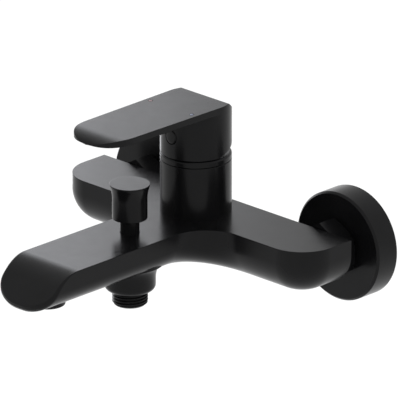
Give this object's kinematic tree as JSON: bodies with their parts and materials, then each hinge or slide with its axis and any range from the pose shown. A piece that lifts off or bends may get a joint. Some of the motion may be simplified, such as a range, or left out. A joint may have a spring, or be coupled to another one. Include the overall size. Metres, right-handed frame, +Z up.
{
  "type": "wall mounted bath faucet",
  "caption": "Wall mounted bath and shower mixer with a flat single lever, T-shaped body and spout, pull-up diverter knob, threaded shower outlet and round wall flanges.",
  "frame": {"origin": "on the wall plane, midway between the two inlets, at the height of the inlet axes", "axes": "+Y into the wall, -Y along the spout into the room, +X from the hot inlet to the cold inlet, +Z up"},
  "size_m": [0.216, 0.2198, 0.1159],
  "materials": {
    "black_paint": "satin to matte black coating on brass and zinc",
    "brass": "machined",
    "steel": "turned stainless",
    "ceramic": "lapped alumina ceramic",
    "white_plastic": "moulded acetal",
    "grey_plastic": "moulded acetal",
    "rubber": "black moulded rubber",
    "red_mark": "smooth",
    "blue_mark": "smooth"
  },
  "bodies": {
    "mixer": {"mixer_body": "black_paint", "bonnet_ring": "black_paint", "diverter_gland": "black_paint", "shower_outlet_nipple": "black_paint", "aerator_housing": "black_paint", "hot_escutcheon": "black_paint", "cold_escutcheon": "black_paint", "hot_union_nut": "black_paint", "cold_union_nut": "black_paint", "hot_eccentric_union": "black_paint", "cold_eccentric_union": "black_paint", "cartridge_lock_nut": "brass", "hot_tailpiece": "brass", "cold_tailpiece": "brass", "diverter_spring": "steel", "fixed_ceramic_disc": "ceramic", "cartridge_housing": "white_plastic", "cartridge_base": "grey_plastic", "aerator_core": "grey_plastic", "hot_port_seal": "rubber", "cold_port_seal": "rubber", "mixed_port_seal": "rubber", "gland_seal": "rubber", "shower_outlet_seal": "rubber", "aerator_washer": "rubber", "hot_tailpiece_seal": "rubber", "cold_tailpiece_seal": "rubber", "hot_filter_washer": "rubber", "cold_filter_washer": "rubber"},
    "turret": {"cartridge_turret": "grey_plastic", "lever_pivot_pin": "steel"},
    "lever": {"lever_stem": "brass", "lever_handle": "black_paint", "handle_set_screw": "steel", "set_screw_plug": "black_paint", "hot_index_dot": "red_mark", "cold_index_dot": "blue_mark"},
    "mixing_disc": {"disc_carrier": "white_plastic", "moving_ceramic_disc": "ceramic"},
    "diverter": {"diverter_knob": "black_paint", "diverter_rod": "steel", "upper_valve_washer": "rubber", "valve_plate": "brass", "lower_valve_washer": "rubber", "valve_nut": "brass"}
  },
  "joints": [
    {"name": "lever_turn", "type": "hinge", "parent": "mixer", "child": "turret", "pos_m": [0, -0.0568, 0.0454], "axis": [0, 0, 1], "range_deg": [-45, 45]},
    {"name": "lever_lift", "type": "hinge", "parent": "turret", "child": "lever", "pos_m": [0, -0.0568, 0.0454], "axis": [-1, 0, 0], "range_deg": [0, 17]},
    {"name": "disc_slide", "type": "slide", "parent": "turret", "child": "mixing_disc", "axis": [0, -1, 0], "range_m": [0, 0.0055]},
    {"name": "diverter_pull", "type": "slide", "parent": "mixer", "child": "diverter", "axis": [0, 0, 1], "range_m": [0, 0.006], "stiffness_N_per_m": 150, "springref_m": -0.004, "deforming": ["diverter_spring"]}
  ],
  "couplings": [
    {"joint": "disc_slide", "follows": "lever_lift", "m_per_rad": 0.01833}
  ]
}
